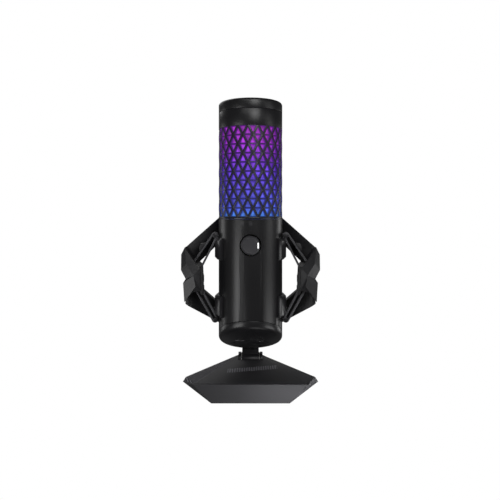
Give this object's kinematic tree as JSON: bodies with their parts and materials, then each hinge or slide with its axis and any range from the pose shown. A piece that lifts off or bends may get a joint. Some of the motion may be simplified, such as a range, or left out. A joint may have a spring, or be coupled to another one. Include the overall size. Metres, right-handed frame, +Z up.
{
  "type": "desktop microphone",
  "caption": "Lit cylindrical side-address microphone with a gain knob, hung on elastic loops between two faceted wings over a hinged neck and a heavy faceted foot.",
  "frame": {"origin": "on the floor under the microphone's axis, in the middle of its 59 mm tube", "axes": "+Z up along the microphone's axis, -Y towards the person who speaks into it"},
  "size_m": [0.1258, 0.0914, 0.2639],
  "materials": {
    "rubber": "matte",
    "steel": "satin",
    "cast_black": "fine satin paint",
    "bracket_black": "black anodised",
    "washer_plastic": "matte",
    "wing_black": "matte",
    "wing_grey": "satin",
    "holder_black": "matte",
    "elastic": "braided elastic",
    "pad_grey": "satin",
    "satin_black": "satin black anodised",
    "grille_metal": "satin",
    "board_green": "solder mask",
    "bright_metal": "satin",
    "jack_black": "matte",
    "lamp_clear": "clear",
    "chassis_metal": "satin",
    "diffuser": "translucent",
    "foam": "open cell foam",
    "isolator_rubber": "matte",
    "gold_film": "metallised film",
    "brass": "satin",
    "knob_black": "satin"
  },
  "bodies": {
    "base": {"rubber_foot": "rubber", "base_plate": "steel", "base_screws": "steel", "base_shell": "cast_black", "ballast": "steel", "hinge_bracket": "bracket_black", "bracket_screws": "steel", "hinge_pin": "steel", "friction_washers": "washer_plastic"},
    "frame": {"neck": "bracket_black", "neck_stud": "steel", "lock_ring": "bracket_black", "spine": "bracket_black", "wing_dowels": "steel", "wing_right": "wing_black", "wing_left": "wing_black", "wing_block_right": "wing_grey", "wing_block_left": "wing_grey", "cord_holder_right": "holder_black", "cord_holder_left": "holder_black", "elastic_loop_right": "elastic", "elastic_loop_left": "elastic"},
    "microphone": {"hook_pad_upper_right": "pad_grey", "hook_pad_lower_right": "pad_grey", "hook_pad_upper_left": "pad_grey", "hook_pad_lower_left": "pad_grey", "body_tube": "satin_black", "grille": "grille_metal", "top_cap": "satin_black", "touch_sensor": "board_green", "bottom_cap": "satin_black", "usb_socket": "bright_metal", "headphone_jack": "jack_black", "socket_board": "board_green", "pad_screws": "steel", "encoder": "bright_metal", "knob_board": "board_green", "lamp_lenses": "lamp_clear", "chassis": "chassis_metal", "main_board": "board_green", "board_chips": "jack_black", "led_board": "board_green", "leds": "lamp_clear", "light_guide": "diffuser", "pop_filter": "foam", "capsule_mount": "jack_black", "capsule_isolator": "isolator_rubber", "capsule_housing": "bright_metal", "capsule_diaphragm": "gold_film", "capsule_backplate": "brass"},
    "plunger": {"encoder_plunger": "washer_plastic"},
    "knob": {"encoder_shaft": "steel", "gain_knob": "knob_black", "knob_indicator": "lamp_clear"}
  },
  "joints": [
    {"name": "neck_tilt", "type": "hinge", "parent": "base", "child": "frame", "pos_m": [0, 0.036, 0.017], "axis": [1, 0, 0], "range_deg": [-20, 12]},
    {"name": "suspension_bounce", "type": "slide", "parent": "frame", "child": "microphone", "axis": [0, 0, 1], "range_m": [-0.0025, 0.0025], "stiffness_N_per_m": 1200, "springref_m": 0.00278, "deforming": ["elastic_loop_right", "elastic_loop_left"]},
    {"name": "knob_press", "type": "slide", "parent": "microphone", "child": "plunger", "axis": [0, 1, 0], "range_m": [0, 0.0008], "stiffness_N_per_m": 2500, "springref_m": -0.0004},
    {"name": "knob_turn", "type": "hinge", "parent": "plunger", "child": "knob", "pos_m": [0, -0.03, 0.1348], "axis": [0, 1, 0], "continuous": true}
  ]
}
